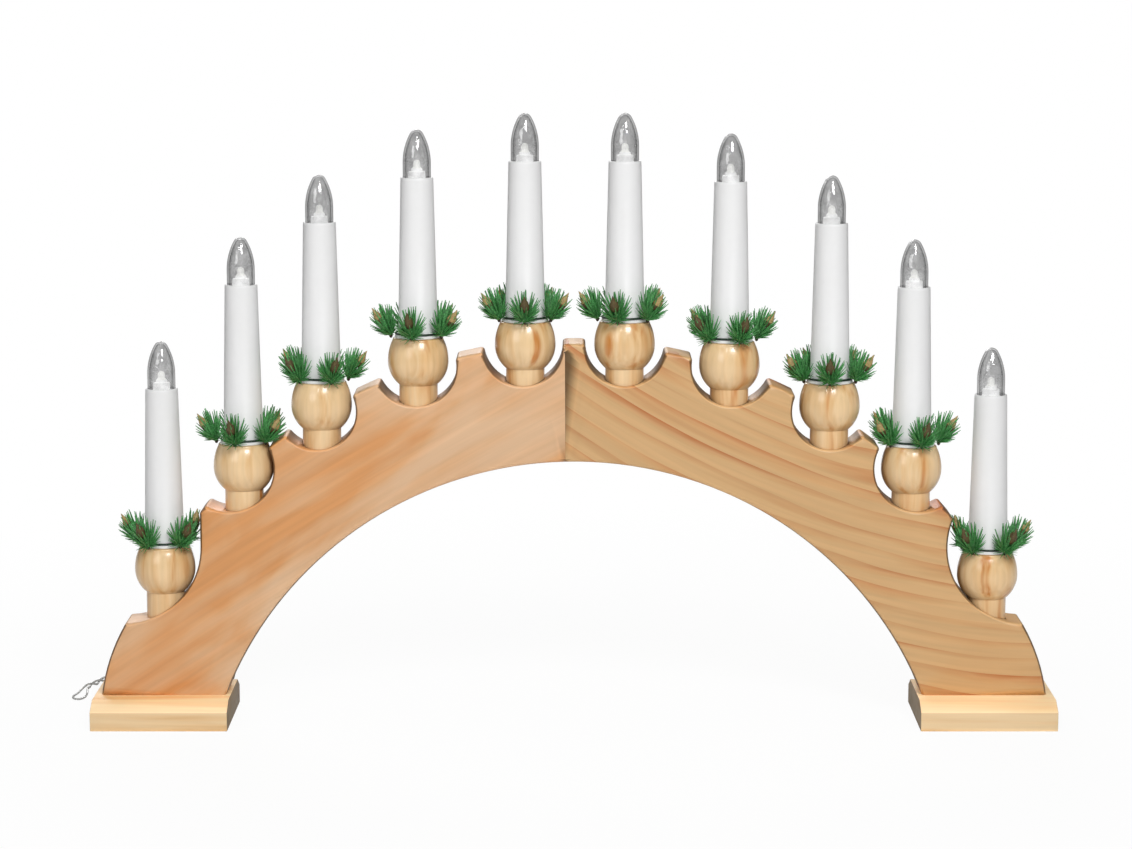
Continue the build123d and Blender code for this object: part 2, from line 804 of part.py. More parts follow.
lead_radii = bend_radii(lead_points)
with BuildPart() as lead_wire:
    with BuildLine() as lead_path:
        FilletPolyline(*lead_points, radius=lead_radii)
    with BuildSketch(Plane(origin=lead_points[0], z_dir=lead_path.line % 0)):
        RegularPolygon(lead_diameter / 2, lead_sides)
    sweep()
save(lead_wire.part, "lead_wire")
section = lead_sides / 2 * (lead_diameter / 2) ** 2 * math.sin(2 * math.pi / lead_sides)
lead_length = sum(edge.length for edge in lead_path.edges())
print("lead length", round(lead_length, 1))
print("lead volume over section times length", round(lead_wire.part.volume / section / lead_length, 4))
print("lead radii", [round(value, 1) for value in lead_radii])

# Least clear gap between the two strands of the twisted pair, measured on points along the lead
step_length = lead_diameter / 3
samples = [
    (place, lead_path.line @ (place / lead_length))
    for place in [step * step_length for step in range(int(lead_length / step_length))]
]
least_gap = min(
    (second - first).length - lead_diameter
    for number, (first_place, first) in enumerate(samples)
    for second_place, second in samples[number + 1 :]
    if second_place - first_place > 4 * lead_diameter
)
print("lead least gap to itself", round(least_gap, 2))
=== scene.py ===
import math
import random

import bmesh
import bpy
from mathutils import Matrix, Vector


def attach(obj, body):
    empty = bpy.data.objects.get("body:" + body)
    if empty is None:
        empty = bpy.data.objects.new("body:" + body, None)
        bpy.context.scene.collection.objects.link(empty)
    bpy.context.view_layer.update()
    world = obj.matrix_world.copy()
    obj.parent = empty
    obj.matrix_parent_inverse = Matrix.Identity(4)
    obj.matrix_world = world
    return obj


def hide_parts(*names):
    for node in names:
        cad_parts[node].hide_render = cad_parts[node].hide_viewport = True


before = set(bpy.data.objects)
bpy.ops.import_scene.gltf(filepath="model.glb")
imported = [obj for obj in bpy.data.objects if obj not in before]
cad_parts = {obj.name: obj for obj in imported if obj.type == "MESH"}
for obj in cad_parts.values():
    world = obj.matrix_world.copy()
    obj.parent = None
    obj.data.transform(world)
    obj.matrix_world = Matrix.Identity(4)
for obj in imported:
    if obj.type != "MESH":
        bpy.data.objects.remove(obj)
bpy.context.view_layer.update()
# shapes below are given in millimetres, and this turns them into metres
mm = 0.001
weldDistance = 0.002 * mm
random.seed(24)

camera = {
    "height": 328 * mm,
    "distance": 1275 * mm,
    "downwardTilt": 9.07,
    "focalPixels": 3113,
    "imageWidth": 1132,
    "middleX": 574,
    "sensor": 36,
    "farClip": 20,
}

print("camera, floor and lamps")
cameraData = bpy.data.cameras.new("photoCamera")
cameraData.sensor_width = camera["sensor"]
cameraData.lens = camera["focalPixels"] / camera["imageWidth"] * camera["sensor"]
cameraData.shift_x = (camera["imageWidth"] / 2 - camera["middleX"]) / camera["imageWidth"]
cameraData.clip_end = camera["farClip"]
photoCamera = bpy.data.objects.new("photoCamera", cameraData)
photoCamera.location = (0, -camera["distance"], camera["height"])
photoCamera.rotation_euler = (math.radians(90 - camera["downwardTilt"]), 0, 0)
bpy.context.collection.objects.link(photoCamera)
bpy.context.scene.camera = photoCamera
bpy.context.scene.view_settings.view_transform = "Standard"


def fromPhoto(red, green, blue):
    # a colour as read off a screen, turned into the values that a shader takes
    values = []
    for value in (red, green, blue):
        share = value / 255
        values.append(share / 12.92 if share <= 0.04045 else ((share + 0.055) / 1.055) ** 2.4)
    return (*values, 1)


def softLamp(name, place, target, size, power):
    data = bpy.data.lights.new(name, "AREA")
    data.shape = "RECTANGLE"
    data.size, data.size_y = size
    data.energy = power
    lamp = bpy.data.objects.new(name, data)
    lamp.location = place
    lamp.rotation_euler = (Vector(target) - Vector(place)).to_track_quat("-Z", "Y").to_euler()
    bpy.context.collection.objects.link(lamp)


studio = {
    "floorSize": 40,
    "worldStrength": 0.11,
    "white": (1, 1, 1, 1),
    "floorColor": (0.9, 0.9, 0.9, 1),
    "floorRoughness": 0.9,
    "floorGlow": 0.95,
    "shadowReach": 0.22,
    "whiteReach": 0.5,
}

world = bpy.data.worlds.new("studioWorld")
bpy.context.scene.world = world
world.use_nodes = True
worldNodes = world.node_tree.nodes
worldLinks = world.node_tree.links
worldBack = worldNodes["Background"]
worldBack.inputs["Color"].default_value = studio["white"]
worldBack.inputs["Strength"].default_value = studio["worldStrength"]
# looked at directly or through a clear part, the background is plain white
whiteBack = worldNodes.new("ShaderNodeBackground")
whiteBack.inputs["Color"].default_value = studio["white"]
whiteBack.inputs["Strength"].default_value = 1
rayKind = worldNodes.new("ShaderNodeLightPath")
worldMix = worldNodes.new("ShaderNodeMixShader")
seenBy = worldNodes.new("ShaderNodeMath")
seenBy.operation = "MAXIMUM"
worldLinks.new(rayKind.outputs["Is Camera Ray"], seenBy.inputs[0])
worldLinks.new(rayKind.outputs["Is Transmission Ray"], seenBy.inputs[1])
worldLinks.new(seenBy.outputs[0], worldMix.inputs[0])
worldLinks.new(worldBack.outputs[0], worldMix.inputs[1])
worldLinks.new(whiteBack.outputs[0], worldMix.inputs[2])
worldLinks.new(worldMix.outputs[0], worldNodes["World Output"].inputs["Surface"])

floorShape = bmesh.new()
bmesh.ops.create_grid(floorShape, x_segments=1, y_segments=1, size=studio["floorSize"])
floorMesh = bpy.data.meshes.new("floor")
floorShape.to_mesh(floorMesh)
floorShape.free()
floor = bpy.data.objects.new("floor", floorMesh)
bpy.context.collection.objects.link(floor)
floorPaint = bpy.data.materials.new("floorPaint")
floorPaint.use_nodes = True
floorNodes = floorPaint.node_tree.nodes
floorLinks = floorPaint.node_tree.links
floorShader = floorNodes["Principled BSDF"]
floorShader.inputs["Base Color"].default_value = studio["floorColor"]
floorShader.inputs["Roughness"].default_value = studio["floorRoughness"]
floorGlow = floorNodes.new("ShaderNodeEmission")
floorGlow.inputs["Color"].default_value = studio["white"]
floorGlow.inputs["Strength"].default_value = 1
floorRay = floorNodes.new("ShaderNodeLightPath")
floorSeen = floorNodes.new("ShaderNodeMath")
floorSeen.operation = "MAXIMUM"
floorShare = floorNodes.new("ShaderNodeMath")
floorShare.operation = "MULTIPLY"
# the floor shines by itself away from the object and keeps its shadow close to it
floorPlace = floorNodes.new("ShaderNodeTexCoord")
floorAway = floorNodes.new("ShaderNodeVectorMath")
floorAway.operation = "LENGTH"
floorFade = floorNodes.new("ShaderNodeMapRange")
floorFade.inputs["From Min"].default_value = studio["shadowReach"]
floorFade.inputs["From Max"].default_value = studio["whiteReach"]
floorFade.inputs["To Min"].default_value = studio["floorGlow"]
floorFade.inputs["To Max"].default_value = 1
floorLinks.new(floorPlace.outputs["Object"], floorAway.inputs[0])
floorLinks.new(floorAway.outputs["Value"], floorFade.inputs["Value"])
floorLinks.new(floorFade.outputs[0], floorShare.inputs[1])
floorMix = floorNodes.new("ShaderNodeMixShader")
floorLinks.new(floorRay.outputs["Is Camera Ray"], floorSeen.inputs[0])
floorLinks.new(floorRay.outputs["Is Transmission Ray"], floorSeen.inputs[1])
floorLinks.new(floorSeen.outputs[0], floorShare.inputs[0])
floorLinks.new(floorShare.outputs[0], floorMix.inputs[0])
floorLinks.new(floorShader.outputs[0], floorMix.inputs[1])
floorLinks.new(floorGlow.outputs[0], floorMix.inputs[2])
floorLinks.new(floorMix.outputs[0], floorNodes["Material Output"].inputs["Surface"])
floorMesh.materials.append(floorPaint)

studioLamps = {
    "keyLamp": {
        "place": (0.4, -1.3, 1.25), "target": (0, 0, 0.1), "size": (0.5, 0.5), "power": 19,
    },
    "fillLamp": {
        "place": (-0.9, -1.3, 0.7), "target": (0, 0, 0.1), "size": (0.7, 0.7), "power": 4.5,
    },
    "rearLamp": {
        "place": (-0.3, 1.4, 0.85), "target": (0, 0, 0.1), "size": (1.0, 0.6), "power": 12,
    },
    "sparkLamp": {
        "place": (-0.3, -1.2, 1.0), "target": (0, 0, 0.2), "size": (0.1, 0.07), "power": 0.9,
    },
}
for name, values in studioLamps.items():
    softLamp(name, **values)

print("finishes")
boardLooks = {
    "leftBoard": {
        "pale": fromPhoto(223, 184, 145),
        "middle": fromPhoto(220, 174, 130),
        "dark": fromPhoto(214, 151, 93),
        "slope": -0.52,
        "bend": 0.4,
        "streakScale": (11, 20, 20),
        "streakRange": (0.4, 0.64),
        "streakDetail": 4,
        "bandShape": "SIN",
        "bandScale": 26,
        "bandWander": 6,
        "bandDetail": 0.6,
        "bandStretch": (0.25, 0.5, 1),
        "bandShare": 0.06,
        "fineScale": (18, 150, 420),
        "fineRange": (0.93, 1.05),
        # painted shade on faces that look sideways, and a painted highlight on the eased corners
        "paintedShades": {
            "X": ((0, 1), (0.4, 1), (0.75, 0.32), (1, 0.3)),
            "Y": ((0, 1.08), (0.35, 1.08), (0.6, 1.25), (0.85, 1.2), (0.97, 1)),
        },
        "roughness": 0.5,
        "coat": 0.08,
    },
    "rightBoard": {
        "pale": fromPhoto(211, 170, 119),
        "middle": fromPhoto(203, 153, 101),
        "dark": fromPhoto(188, 112, 58),
        "slope": 0.667,
        "bend": -1.67,
        "streakScale": (9, 30, 80),
        "streakRange": (0.46, 0.72),
        "streakDetail": 3.5,
        "bandShape": "SAW",
        "bandScale": 40,
        "bandWander": 11,
        "bandDetail": 0.45,
        "bandStretch": (0.2, 0.5, 1),
        "bandShare": 0.3,
        "fineScale": (18, 150, 420),
        "fineRange": (0.92, 1.05),
        # painted shade on faces that look sideways, and a painted highlight on the eased corners
        "paintedShades": {
            "X": ((0, 1), (0.4, 1), (0.75, 0.32), (1, 0.3)),
            "Y": ((0, 1.08), (0.35, 1.08), (0.6, 1.25), (0.85, 1.2), (0.97, 1)),
        },
        "roughness": 0.5,
        "coat": 0.08,
    },
    "footPine": {
        "pale": fromPhoto(247, 217, 172),
        "middle": fromPhoto(242, 205, 154),
        "dark": fromPhoto(224, 178, 120),
        "slope": 0.02,
        "bend": 0.0,
        "streakScale": (8, 120, 160),
        "streakRange": (0.42, 0.75),
        "streakDetail": 3,
        "bandShape": "SIN",
        "bandScale": 60,
        "bandWander": 1.5,
        "bandDetail": 0.5,
        "bandStretch": (0.08, 1, 1),
        "bandShare": 0.15,
        "fineScale": (25, 500, 500),
        "fineRange": (0.95, 1.03),
        # painted shade on the ends, and painted light on the top and the bevel
        "paintedShades": {
            "X": ((0, 1), (0.5, 1), (0.8, 0.3), (1, 0.3)),
            "Z": ((0, 0.93), (0.12, 0.93), (0.3, 1.35), (1, 1.35)),
        },
        "roughness": 0.55,
        "coat": 0.05,
    },
    "cupPine": {
        "pale": fromPhoto(240, 206, 158),
        "middle": fromPhoto(230, 188, 134),
        "dark": fromPhoto(204, 132, 62),
        "slope": 0.0,
        "bend": 0.0,
        "streakScale": (130, 130, 12),
        "streakRange": (0.42, 0.68),
        "streakDetail": 3,
        "bandShape": "SIN",
        "bandScale": 1,
        "bandWander": 0,
        "bandDetail": 1,
        "bandStretch": (1, 1, 1),
        "bandShare": 0.0,
        "fineScale": (500, 500, 22),
        "fineRange": (0.93, 1.04),
        # painted shade, a little darker on the faces that point up
        "paintedShades": {"Z": ((0, 1), (0.6, 1), (0.85, 0.9), (1, 0.9))},
        "roughness": 0.28,
        "coat": 0.5,
    },
}

grainDetail = {
    "bandDetail": 3,
    "streakDistortion": 0.7,
    "fineDetail": 3,
    "fineDistortion": 0.3,
    "fineFrom": 0.3,
    "fineTo": 0.7,
    "bumpStrength": 0.12,
    "bumpDistance": 0.1 * mm,
    "coatRoughness": 0.15,
}


def woodMaterial(name, look):
    material = bpy.data.materials.new(name)
    material.use_nodes = True
    nodes = material.node_tree.nodes
    links = material.node_tree.links
    shader = nodes["Principled BSDF"]
    place = nodes.new("ShaderNodeTexCoord")
    apart = nodes.new("ShaderNodeSeparateXYZ")
    links.new(place.outputs["Object"], apart.inputs[0])
    # height above a grain line that falls by the slope and bends along the board
    bendPart = nodes.new("ShaderNodeMath")
    bendPart.operation = "MULTIPLY_ADD"
    bendPart.inputs[1].default_value = look["bend"]
    bendPart.inputs[2].default_value = look["slope"]
    links.new(apart.outputs["X"], bendPart.inputs[0])
    grainHeight = nodes.new("ShaderNodeMath")
    grainHeight.operation = "MULTIPLY_ADD"
    links.new(apart.outputs["X"], grainHeight.inputs[0])
    links.new(bendPart.outputs[0], grainHeight.inputs[1])
    links.new(apart.outputs["Z"], grainHeight.inputs[2])
    grain = nodes.new("ShaderNodeCombineXYZ")
    links.new(apart.outputs["X"], grain.inputs["X"])
    links.new(apart.outputs["Y"], grain.inputs["Y"])
    links.new(grainHeight.outputs[0], grain.inputs["Z"])

    def stretchedNoise(scale, detail, distortion):
        stretch = nodes.new("ShaderNodeMapping")
        stretch.inputs["Scale"].default_value = scale
        links.new(grain.outputs[0], stretch.inputs["Vector"])
        noise = nodes.new("ShaderNodeTexNoise")
        noise.inputs["Scale"].default_value = 1
        noise.inputs["Detail"].default_value = detail
        noise.inputs["Distortion"].default_value = distortion
        links.new(stretch.outputs[0], noise.inputs["Vector"])
        return noise.outputs["Fac"]

    # year rings cut lengthwise: wavy bands that the long streaks make stronger and weaker
    wave = nodes.new("ShaderNodeTexWave")
    wave.bands_direction = "Z"
    wave.wave_profile = look["bandShape"]
    wave.inputs["Scale"].default_value = look["bandScale"]
    wave.inputs["Distortion"].default_value = look["bandWander"]
    wave.inputs["Detail"].default_value = grainDetail["bandDetail"]
    wave.inputs["Detail Scale"].default_value = look["bandDetail"]
    bandStretch = nodes.new("ShaderNodeMapping")
    bandStretch.inputs["Scale"].default_value = look["bandStretch"]
    links.new(grain.outputs[0], bandStretch.inputs["Vector"])
    links.new(bandStretch.outputs[0], wave.inputs["Vector"])
    longStreaks = stretchedNoise(
        look["streakScale"], look["streakDetail"], grainDetail["streakDistortion"]
    )
    bandPart = nodes.new("ShaderNodeMath")
    bandPart.operation = "MULTIPLY"
    bandPart.inputs[1].default_value = look["bandShare"]
    links.new(wave.outputs["Fac"], bandPart.inputs[0])
    streakSum = nodes.new("ShaderNodeMath")
    streakSum.operation = "MULTIPLY_ADD"
    streakSum.inputs[1].default_value = 1 - look["bandShare"]
    links.new(longStreaks, streakSum.inputs[0])
    links.new(bandPart.outputs[0], streakSum.inputs[2])
    ramp = nodes.new("ShaderNodeValToRGB")
    low, high = look["streakRange"]
    ramp.color_ramp.elements[0].position = low
    ramp.color_ramp.elements[0].color = look["pale"]
    ramp.color_ramp.elements[1].position = high
    ramp.color_ramp.elements[1].color = look["dark"]
    middle = ramp.color_ramp.elements.new((low + high) / 2)
    middle.color = look["middle"]
    links.new(streakSum.outputs[0], ramp.inputs[0])
    fine = stretchedNoise(
        look["fineScale"], grainDetail["fineDetail"], grainDetail["fineDistortion"]
    )
    shade = nodes.new("ShaderNodeMapRange")
    shade.inputs["From Min"].default_value = grainDetail["fineFrom"]
    shade.inputs["From Max"].default_value = grainDetail["fineTo"]
    shade.inputs["To Min"].default_value = look["fineRange"][0]
    shade.inputs["To Max"].default_value = look["fineRange"][1]
    links.new(fine, shade.inputs["Value"])
    tint = nodes.new("ShaderNodeVectorMath")
    tint.operation = "SCALE"
    links.new(ramp.outputs["Color"], tint.inputs[0])
    # each look paints light and shade on its piece by the way a face points: painted shade on
    # sideways ends, a painted highlight on eased corners
    facing = nodes.new("ShaderNodeSeparateXYZ")
    links.new(place.outputs["Normal"], facing.inputs[0])
    strength = shade.outputs[0]
    for axis, steps in look["paintedShades"].items():
        turned = nodes.new("ShaderNodeMath")
        turned.operation = "ABSOLUTE"
        links.new(facing.outputs[axis], turned.inputs[0])
        # the painted shade and painted highlight for this direction
        paintedEdgeShade = nodes.new("ShaderNodeValToRGB")
        bands = paintedEdgeShade.color_ramp.elements
        # the ramp holds half of each shade, which leaves room above one, and it is doubled after
        for number, (along, value) in enumerate(steps):
            band = bands[number] if number < 2 else bands.new(along)
            band.position = along
            band.color = (value / 2, value / 2, value / 2, 1)
        links.new(turned.outputs[0], paintedEdgeShade.inputs[0])
        halves = nodes.new("ShaderNodeMath")
        halves.operation = "MULTIPLY"
        links.new(strength, halves.inputs[0])
        links.new(paintedEdgeShade.outputs["Color"], halves.inputs[1])
        doubled = nodes.new("ShaderNodeMath")
        doubled.operation = "MULTIPLY"
        doubled.inputs[1].default_value = 2
        links.new(halves.outputs[0], doubled.inputs[0])
        strength = doubled.outputs[0]
    links.new(strength, tint.inputs["Scale"])
    links.new(tint.outputs[0], shader.inputs["Base Color"])
    bump = nodes.new("ShaderNodeBump")
    bump.inputs["Strength"].default_value = grainDetail["bumpStrength"]
    bump.inputs["Distance"].default_value = grainDetail["bumpDistance"]
    links.new(fine, bump.inputs["Height"])
    links.new(bump.outputs[0], shader.inputs["Normal"])
    shader.inputs["Roughness"].default_value = look["roughness"]
    shader.inputs["Coat Weight"].default_value = look["coat"]
    shader.inputs["Coat Roughness"].default_value = grainDetail["coatRoughness"]
    return material


cloudLook = {
    "detail": 2,
    "low": 0.3,
    "high": 0.7,
}


def smoothMaterial(name, color, roughness, change, scale, **sockets):
    # one colour with a faint cloudy change in it
    material = bpy.data.materials.new(name)
    material.use_nodes = True
    nodes = material.node_tree.nodes
    links = material.node_tree.links
    shader = nodes["Principled BSDF"]
    place = nodes.new("ShaderNodeTexCoord")
    cloud = nodes.new("ShaderNodeTexNoise")
    cloud.inputs["Scale"].default_value = scale
    cloud.inputs["Detail"].default_value = cloudLook["detail"]
    links.new(place.outputs["Object"], cloud.inputs["Vector"])
    ramp = nodes.new("ShaderNodeValToRGB")
    ramp.color_ramp.elements[0].position = cloudLook["low"]
    darker = [value * (1 - change) for value in color[:3]]
    ramp.color_ramp.elements[0].color = (*darker, 1)
    ramp.color_ramp.elements[1].position = cloudLook["high"]
    ramp.color_ramp.elements[1].color = color
    links.new(cloud.outputs["Fac"], ramp.inputs[0])
    links.new(ramp.outputs["Color"], shader.inputs["Base Color"])
    shader.inputs["Roughness"].default_value = roughness
    for socket, value in sockets.items():
        shader.inputs[socket.replace("_", " ")].default_value = value
    return material


clearWall = {
    "tint": fromPhoto(239, 239, 239),
    "tintChange": 0.9,
    "cloudScale": 260,
    "cloudLow": 0.35,
    "cloudHigh": 0.65,
    "facingBlend": 0.3,
    "facingFrom": 0.2,
    "edgeTint": 0.35,
    "gloss": 0.08,
    "waveScale": 330,
    "waveStrength": 0.7,
    "waveDistance": 0.5 * mm,
    "faceMirror": 0.07,
    "edgeMirror": 0.22,
}


def thinClear(name, wall):
    # light goes straight through, dimmed by the tint and more so at the edges, under a gloss
    material = bpy.data.materials.new(name)
    material.use_nodes = True
    nodes = material.node_tree.nodes
    links = material.node_tree.links
    nodes.remove(nodes["Principled BSDF"])
    place = nodes.new("ShaderNodeTexCoord")
    cloud = nodes.new("ShaderNodeTexNoise")
    cloud.inputs["Scale"].default_value = wall["cloudScale"]
    cloud.inputs["Detail"].default_value = cloudLook["detail"]
    links.new(place.outputs["Object"], cloud.inputs["Vector"])
    ramp = nodes.new("ShaderNodeValToRGB")
    ramp.color_ramp.elements[0].position = wall["cloudLow"]
    darker = [value * wall["tintChange"] for value in wall["tint"][:3]]
    ramp.color_ramp.elements[0].color = (*darker, 1)
    ramp.color_ramp.elements[1].position = wall["cloudHigh"]
    ramp.color_ramp.elements[1].color = wall["tint"]
    links.new(cloud.outputs["Fac"], ramp.inputs[0])
    edge = nodes.new("ShaderNodeLayerWeight")
    edge.inputs["Blend"].default_value = wall["facingBlend"]
    thickness = nodes.new("ShaderNodeMapRange")
    thickness.inputs["From Min"].default_value = wall["facingFrom"]
    thickness.inputs["To Min"].default_value = 1
    thickness.inputs["To Max"].default_value = wall["edgeTint"]
    links.new(edge.outputs["Facing"], thickness.inputs["Value"])
    dimmed = nodes.new("ShaderNodeVectorMath")
    dimmed.operation = "SCALE"
    links.new(ramp.outputs["Color"], dimmed.inputs[0])
    links.new(thickness.outputs[0], dimmed.inputs["Scale"])
    through = nodes.new("ShaderNodeBsdfTransparent")
    links.new(dimmed.outputs[0], through.inputs["Color"])
    mirror = nodes.new("ShaderNodeBsdfGlossy")
    mirror.inputs["Color"].default_value = studio["white"]
    mirror.inputs["Roughness"].default_value = wall["gloss"]
    waves = nodes.new("ShaderNodeTexNoise")
    waves.inputs["Scale"].default_value = wall["waveScale"]
    links.new(place.outputs["Object"], waves.inputs["Vector"])
    bump = nodes.new("ShaderNodeBump")
    bump.inputs["Strength"].default_value = wall["waveStrength"]
    bump.inputs["Distance"].default_value = wall["waveDistance"]
    links.new(waves.outputs["Fac"], bump.inputs["Height"])
    links.new(bump.outputs[0], mirror.inputs["Normal"])
    share = nodes.new("ShaderNodeMapRange")
    share.inputs["To Min"].default_value = wall["faceMirror"]
    share.inputs["To Max"].default_value = wall["edgeMirror"]
    links.new(edge.outputs["Facing"], share.inputs["Value"])
    mix = nodes.new("ShaderNodeMixShader")
    links.new(share.outputs[0], mix.inputs[0])
    links.new(through.outputs[0], mix.inputs[1])
    links.new(mirror.outputs[0], mix.inputs[2])
    links.new(mix.outputs[0], nodes["Material Output"].inputs["Surface"])
    return material


leftPine = woodMaterial("leftPine", boardLooks["leftBoard"])
rightPine = woodMaterial("rightPine", boardLooks["rightBoard"])
footPine = woodMaterial("footPine", boardLooks["footPine"])
cupPine = woodMaterial("cupPine", boardLooks["cupPine"])
clearCap = thinClear("clearCap", clearWall)

# painted light: the parts inside the caps glow a little, to make up for the light that the caps
# dim
glow = {"Emission_Color": studio["white"], "Emission_Strength": 0.7}
finishes = {
    "sleeveWhite": {
        "color": fromPhoto(236, 236, 236), "roughness": 0.42, "change": 0.01, "scale": 300,
    },
    "holderWhite": {
        "color": fromPhoto(240, 240, 240), "roughness": 0.4, "change": 0.02, "scale": 500,
    },
    "lampClear": {
        "color": fromPhoto(236, 236, 230), "roughness": 0.1, "change": 0.02, "scale": 800, **glow,
    },
    "glowingHolderWhite": {
        "color": fromPhoto(240, 240, 240), "roughness": 0.4, "change": 0.02, "scale": 500, **glow,
    },
    "needleGreen": {
        "color": fromPhoto(98, 184, 104), "roughness": 0.38, "change": 0.72, "scale": 1500,
    },
    "budBrown": {
        "color": fromPhoto(100, 84, 48), "roughness": 0.55, "change": 0.45, "scale": 1500,
    },
    "budTip": {
        "color": fromPhoto(186, 160, 104), "roughness": 0.5, "change": 0.4, "scale": 1500,
    },
    "stemBrown": {
        "color": fromPhoto(58, 44, 30), "roughness": 0.6, "change": 0.3, "scale": 900,
    },
    "ringGreen": {
        "color": fromPhoto(14, 44, 28), "roughness": 0.5, "change": 0.2, "scale": 500,
    },
    "clearVinyl": {
        "color": fromPhoto(196, 196, 194), "roughness": 0.22, "change": 0.1, "scale": 900,
        "Transmission_Weight": 0.35,
    },
    "wireVinyl": {
        "color": fromPhoto(190, 186, 176), "roughness": 0.35, "change": 0.05, "scale": 500,
    },
    "boxWhite": {
        "color": fromPhoto(232, 232, 229), "roughness": 0.5, "change": 0.02, "scale": 900,
    },
    "switchBlack": {
        "color": fromPhoto(36, 36, 38), "roughness": 0.5, "change": 0.1, "scale": 600,
    },
    "contactNickel": {
        "color": fromPhoto(205, 203, 198), "roughness": 0.28, "change": 0.05, "scale": 500,
        "Metallic": 1.0,
    },
    "cellGrey": {
        "color": fromPhoto(84, 92, 104), "roughness": 0.4, "change": 0.05, "scale": 500,
    },
    "screwZinc": {
        "color": fromPhoto(190, 190, 192), "roughness": 0.35, "change": 0.05, "scale": 500,
        "Metallic": 1.0,
    },
    "dowelBeech": {
        "color": fromPhoto(214, 180, 136), "roughness": 0.6, "change": 0.1, "scale": 500,
    },
}
paints = {name: smoothMaterial(name, **values) for name, values in finishes.items()}


def tangentArc(start, end, steps):
    # points of an arc that leaves its start straight up or down and stops at its end
    inset = start[0] - end[0]
    rise = abs(end[1] - start[1])
    way = 1 if end[1] > start[1] else -1
    radius = (inset * inset + rise * rise) / (2 * inset)
    full = math.asin(min(1, rise / radius))
    points = []
    for step in range(1, steps + 1):
        turn = full * step / steps
        across = start[0] - radius + radius * math.cos(turn)
        points.append((across, start[1] + way * radius * math.sin(turn)))
    return points


def spun(profile, steps, closed=False):
    # a profile of radii and heights in millimetres, turned round the upright axis
    shape = bmesh.new()
    rows = [shape.verts.new((radius * mm, 0, height * mm)) for radius, height in profile]
    edges = [shape.edges.new(pair) for pair in zip(rows, rows[1:])]
    if closed:
        edges.append(shape.edges.new((rows[-1], rows[0])))
    bmesh.ops.spin(
        shape,
        geom=rows + edges,
        cent=(0, 0, 0),
        axis=(0, 0, 1),
        angle=math.tau,
        steps=steps,
        use_merge=True,
    )
    bmesh.ops.remove_doubles(shape, verts=shape.verts, dist=weldDistance)
    bmesh.ops.recalc_face_normals(shape, faces=shape.faces)
    return shape


def placedCopies(shape, places):
    pattern = bpy.data.meshes.new("pattern")
    shape.to_mesh(pattern)
    shape.free()
    whole = bmesh.new()
    for place in places:
        count = len(whole.verts)
        whole.from_mesh(pattern)
        whole.verts.ensure_lookup_table()
        bmesh.ops.translate(whole, verts=whole.verts[count:], vec=place)
    bpy.data.meshes.remove(pattern)
    return whole


def addPiece(name, shape, coats, body, nodes=(), sharp=42):
    mesh = bpy.data.meshes.new(name)
    shape.to_mesh(mesh)
    shape.free()
    for coat in coats:
        mesh.materials.append(coat)
    mesh.polygons.foreach_set("use_smooth", [True] * len(mesh.polygons))
    mesh.set_sharp_from_angle(angle=math.radians(sharp))
    piece = bpy.data.objects.new(name, mesh)
    bpy.context.collection.objects.link(piece)
    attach(piece, body)
    if nodes:
        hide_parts(*nodes)
    return piece


def cadCopy(node):
    shape = bmesh.new()
    shape.from_mesh(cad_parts[node].data)
    bmesh.ops.remove_doubles(shape, verts=shape.verts, dist=weldDistance)
    return shape


easing = {
    "flatWithin": 1,
    "sharpFrom": 30,
    "segments": 2,
}


def softenEdges(shape, width):
    bmesh.ops.dissolve_limit(
        shape,
        angle_limit=math.radians(easing["flatWithin"]),
        verts=shape.verts,
        edges=shape.edges,
    )
    sharpFrom = math.radians(easing["sharpFrom"])
    sharpEdges = [
        edge for edge in shape.edges
        if len(edge.link_faces) == 2 and edge.calc_face_angle(0) > sharpFrom
    ]
    bmesh.ops.bevel(
        shape,
        geom=sharpEdges,
        offset=width * mm,
        offset_type="OFFSET",
        affect="EDGES",
        segments=easing["segments"],
        profile=0.5,
        material=-1,
        clamp_overlap=True,
    )
    return shape


print("boards and feet")
for node, paint in (("arch_left_board", leftPine), ("arch_right_board", rightPine)):
    name = node.replace("arch_", "") + "Wood"
    board = addPiece(name, cadCopy(node), [paint], "arch_frame", [node], sharp=50)
    weighted = board.modifiers.new("evenShading", "WEIGHTED_NORMAL")
    weighted.keep_sharp = True
for node in ("foot_left", "foot_right"):
    shape = softenEdges(cadCopy(node), width=0.5)
    addPiece(node.replace("_", "") + "Wood", shape, [footPine], "arch_frame", [node])
for node, paint, slot in (
    ("seam_dowels", "dowelBeech", "beech_dowel"),
    ("foot_screws", "screwZinc", "screw_steel"),
    ("harness_wire", "wireVinyl", "wire_insulation"),
    ("harness_branches", "wireVinyl", "wire_insulation"),
    ("wire_keepers", "holderWhite", "white_holder"),
    ("lead_gland", "wireVinyl", "wire_insulation"),
):
    name = node.replace("_", "") + "Piece"
    addPiece(name, cadCopy(node), [paints[paint]], "arch_frame", [node])

print("cups, candles and lamps")
arch = {
    "span": 400.0,
    "drop": 45.7,
    "radiusShares": (0.989, 1.001, 1.0085, 1.010, 0.9975, 0.998, 1.002, 1.010, 1.007, 0.990),
    "angles": (-57.3, -41.9, -30.35, -18.1, -5.65, 5.85, 18.2, 30.7, 42.7, 58.2),
}
outerRadius = math.hypot(arch["span"] / 2, arch["drop"])
cupPlaces = []
for share, angle in zip(arch["radiusShares"], arch["angles"]):
    radius = outerRadius * share
    turn = math.radians(angle)
    height = radius * math.cos(turn) - arch["drop"]
    cupPlaces.append(Vector((radius * math.sin(turn) * mm, 0, height * mm)))

